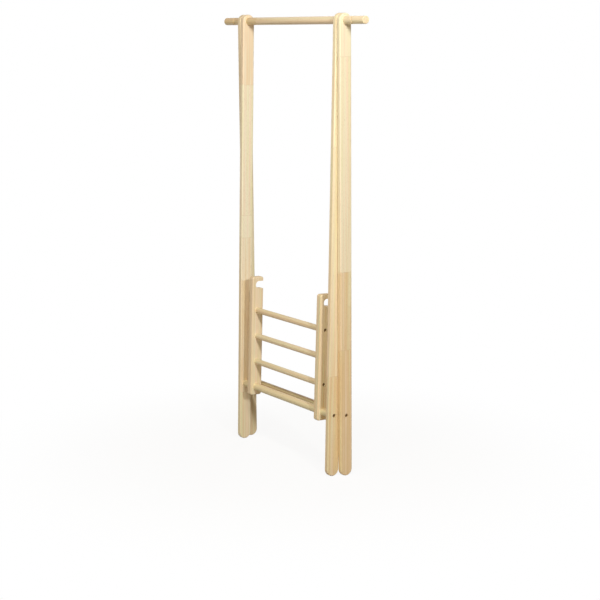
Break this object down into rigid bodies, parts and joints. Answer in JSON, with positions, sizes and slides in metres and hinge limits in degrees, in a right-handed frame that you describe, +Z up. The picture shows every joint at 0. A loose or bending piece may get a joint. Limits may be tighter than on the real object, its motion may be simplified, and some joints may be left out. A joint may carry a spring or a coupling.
{
  "type": "folding clothes rack",
  "caption": "Folding wooden clothes rack: a hanging rod pivots in two leg frames, and a ladder shelf hooks over the rear crossbar to hold it open; stored folded.",
  "frame": {"origin": "on the floor, midway between the four feet of the folded rack, below the hanging rod's axis", "axes": "+X along the hanging rod, to the right seen from the front; +Y to the back, where the hooks open; +Z up"},
  "size_m": [0.81, 0.0858, 1.4998],
  "materials": {
    "leg_wood": "planed light rubberwood strips, finger-jointed, clear satin lacquer",
    "rail_wood": "planed light rubberwood, clear satin lacquer",
    "dowel_wood": "turned light rubberwood dowel, clear satin lacquer",
    "blackened_steel": "black oxide, socket heads",
    "zinc_steel": "zinc plated",
    "washer_nylon": "natural nylon"
  },
  "bodies": {
    "rod": {"hanging_rod": "dowel_wood", "pivot_washer_left": "washer_nylon", "pivot_washer_right": "washer_nylon"},
    "front_frame": {"front_leg_left": "leg_wood", "front_leg_right": "leg_wood"},
    "turning_crossbar": {"front_crossbar": "dowel_wood", "front_bolt_left": "blackened_steel", "front_bolt_right": "blackened_steel", "front_insert_left": "zinc_steel", "front_insert_right": "zinc_steel"},
    "shelf": {"shelf_rail_left": "rail_wood", "shelf_rail_right": "rail_wood", "rung_top": "dowel_wood", "rung_middle": "dowel_wood", "rung_bottom": "dowel_wood", "top_screw_left": "blackened_steel", "top_screw_right": "blackened_steel", "bottom_screw_left": "blackened_steel", "bottom_screw_right": "blackened_steel"},
    "rear_frame": {"rear_leg_left": "leg_wood", "rear_leg_right": "leg_wood", "rear_crossbar": "dowel_wood", "rear_bolt_left": "blackened_steel", "rear_bolt_right": "blackened_steel", "rear_insert_left": "zinc_steel", "rear_insert_right": "zinc_steel"}
  },
  "joints": [
    {"name": "front_fold", "type": "hinge", "parent": "rod", "child": "front_frame", "pos_m": [0, 0, 1.47736], "axis": [-1, 0, 0], "range_deg": [0, 7.47]},
    {"name": "rear_fold", "type": "hinge", "parent": "rod", "child": "rear_frame", "pos_m": [0, 0, 1.47736], "axis": [1, 0, 0], "range_deg": [0, 7.47]},
    {"name": "shelf_swing", "type": "hinge", "parent": "front_frame", "child": "turning_crossbar", "pos_m": [0, -0.01785, 0.20548], "axis": [-1, 0, 0], "range_deg": [0, 74.68]},
    {"name": "shelf_hook", "type": "hinge", "parent": "turning_crossbar", "child": "shelf", "pos_m": [0, -0.01785, 0.20548], "axis": [-1, 0, 0], "range_deg": [0, 5.83]}
  ],
  "couplings": [
    {"joint": "rear_fold", "follows": "front_fold", "ratio": 1},
    {"joint": "shelf_swing", "follows": "front_fold", "ratio": 10}
  ]
}
